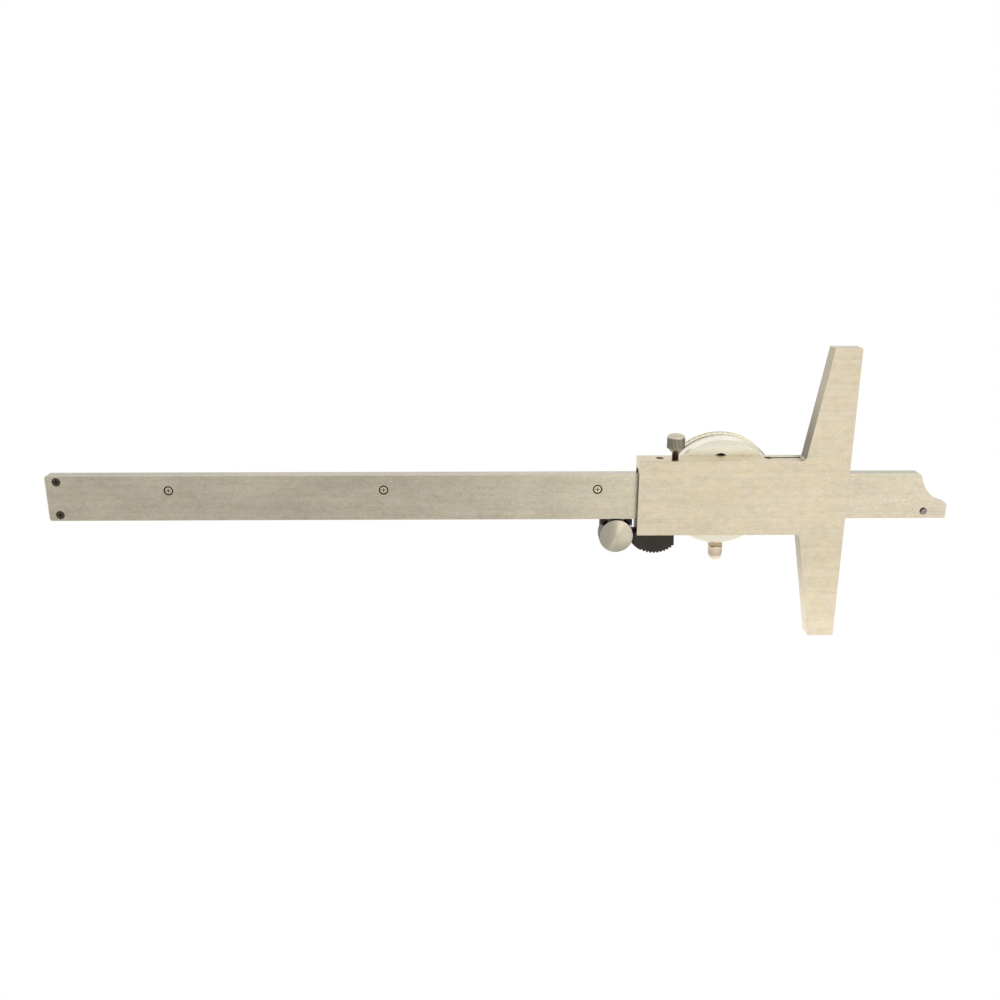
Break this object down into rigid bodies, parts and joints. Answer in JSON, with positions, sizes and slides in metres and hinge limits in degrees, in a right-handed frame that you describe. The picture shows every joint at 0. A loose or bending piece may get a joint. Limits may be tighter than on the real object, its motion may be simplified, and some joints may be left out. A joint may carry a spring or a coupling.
{
  "type": "dial depth gauge",
  "caption": "Dial depth gauge: a flat beam slides through a wide measuring base, and a rack turns the pointer of a round dial.",
  "frame": {"origin": "on the measuring face, on the centre line of the beam, at the flat back of the slider", "axes": "X along the beam away from the measured work, Y across the beam towards the clamp screw, Z from the flat back to the dial"},
  "size_m": [0.306, 0.1016, 0.0165],
  "materials": {
    "beam_steel": "long ground lines",
    "slider_steel": "satin, faintly stained",
    "case_steel": "turned, satin",
    "bezel_steel": "satin plate",
    "knob_steel": "knurled",
    "roller_steel": "turned face",
    "screw_steel": "plain screw steel",
    "dark_steel": "oiled",
    "black_steel": "blackened steel",
    "pin_steel": "ground pin end",
    "brass": "satin",
    "bush_bronze": "turned",
    "black_plastic": "fine grain",
    "pointer_black": "black enamel",
    "dial_white": "matt white enamel",
    "crystal": "clear acrylic"
  },
  "bodies": {
    "beam": {"beam": "beam_steel", "rack": "dark_steel", "rack_screws": "screw_steel", "end_stop": "beam_steel", "end_stop_screws": "black_steel", "nose_pin": "pin_steel"},
    "slider": {"slider_body": "slider_steel", "front_plate": "slider_steel", "front_plate_screws": "screw_steel", "gib_strip": "brass", "gib_screws": "black_steel", "thumb_grip": "black_plastic", "thumb_grip_screws": "screw_steel", "roller_axle": "screw_steel", "dial_case": "case_steel", "case_screws": "screw_steel", "movement_plate": "brass", "movement_plate_screws": "screw_steel", "bridge_pillars": "brass", "bridge": "brass", "bridge_screws": "screw_steel", "plate_bushes": "bush_bronze", "bridge_bushes": "bush_bronze", "hairspring": "dark_steel", "hairspring_stud": "brass", "bezel_spring": "dark_steel", "bezel_clip": "case_steel"},
    "drive_wheel": {"rack_pinion": "dark_steel", "drive_wheel": "brass"},
    "takeup_wheel": {"takeup_arbor": "dark_steel", "takeup_wheel": "brass"},
    "pointer": {"centre_arbor": "dark_steel", "pointer": "pointer_black", "pointer_boss": "pointer_black"},
    "bezel": {"bezel": "bezel_steel", "crystal": "crystal", "dial_face": "dial_white"},
    "thumb_roller": {"thumb_roller": "roller_steel"},
    "clamp_screw": {"clamp_screw": "knob_steel"},
    "bezel_knob": {"bezel_knob": "knob_steel"}
  },
  "joints": [
    {"name": "slider_slide", "type": "slide", "parent": "beam", "child": "slider", "axis": [1, 0, 0], "range_m": [-0.03535, 0.16465]},
    {"name": "drive_wheel_spin", "type": "hinge", "parent": "slider", "child": "drive_wheel", "pos_m": [0.05004, -0.00029, 0.011], "axis": [0, 0, 1], "continuous": true},
    {"name": "takeup_wheel_spin", "type": "hinge", "parent": "slider", "child": "takeup_wheel", "pos_m": [0.03276, 0.00029, 0.011], "axis": [0, 0, 1], "continuous": true},
    {"name": "pointer_spin", "type": "hinge", "parent": "slider", "child": "pointer", "pos_m": [0.0414, 0, 0.0145], "axis": [0, 0, 1], "continuous": true},
    {"name": "bezel_turn", "type": "hinge", "parent": "slider", "child": "bezel", "pos_m": [0.0414, 0, 0.014], "axis": [0, 0, 1], "continuous": true},
    {"name": "thumb_roller_spin", "type": "hinge", "parent": "slider", "child": "thumb_roller", "pos_m": [0.0778, -0.01391, 0.004], "axis": [0, 0, 1], "continuous": true},
    {"name": "clamp_screw_turn", "type": "hinge", "parent": "slider", "child": "clamp_screw", "pos_m": [0.0586, 0.0185, 0.0034], "axis": [0, 1, 0], "range_deg": [0, 360]},
    {"name": "bezel_knob_turn", "type": "hinge", "parent": "slider", "child": "bezel_knob", "pos_m": [0.0414, -0.023, 0.0103], "axis": [0, 1, 0], "range_deg": [0, 360]}
  ],
  "couplings": [
    {"joint": "drive_wheel_spin", "follows": "slider_slide", "rad_per_m": 628.32},
    {"joint": "takeup_wheel_spin", "follows": "slider_slide", "rad_per_m": 628.32},
    {"joint": "pointer_spin", "follows": "slider_slide", "rad_per_m": -3141.6},
    {"joint": "thumb_roller_spin", "follows": "slider_slide", "rad_per_m": 170.94}
  ]
}
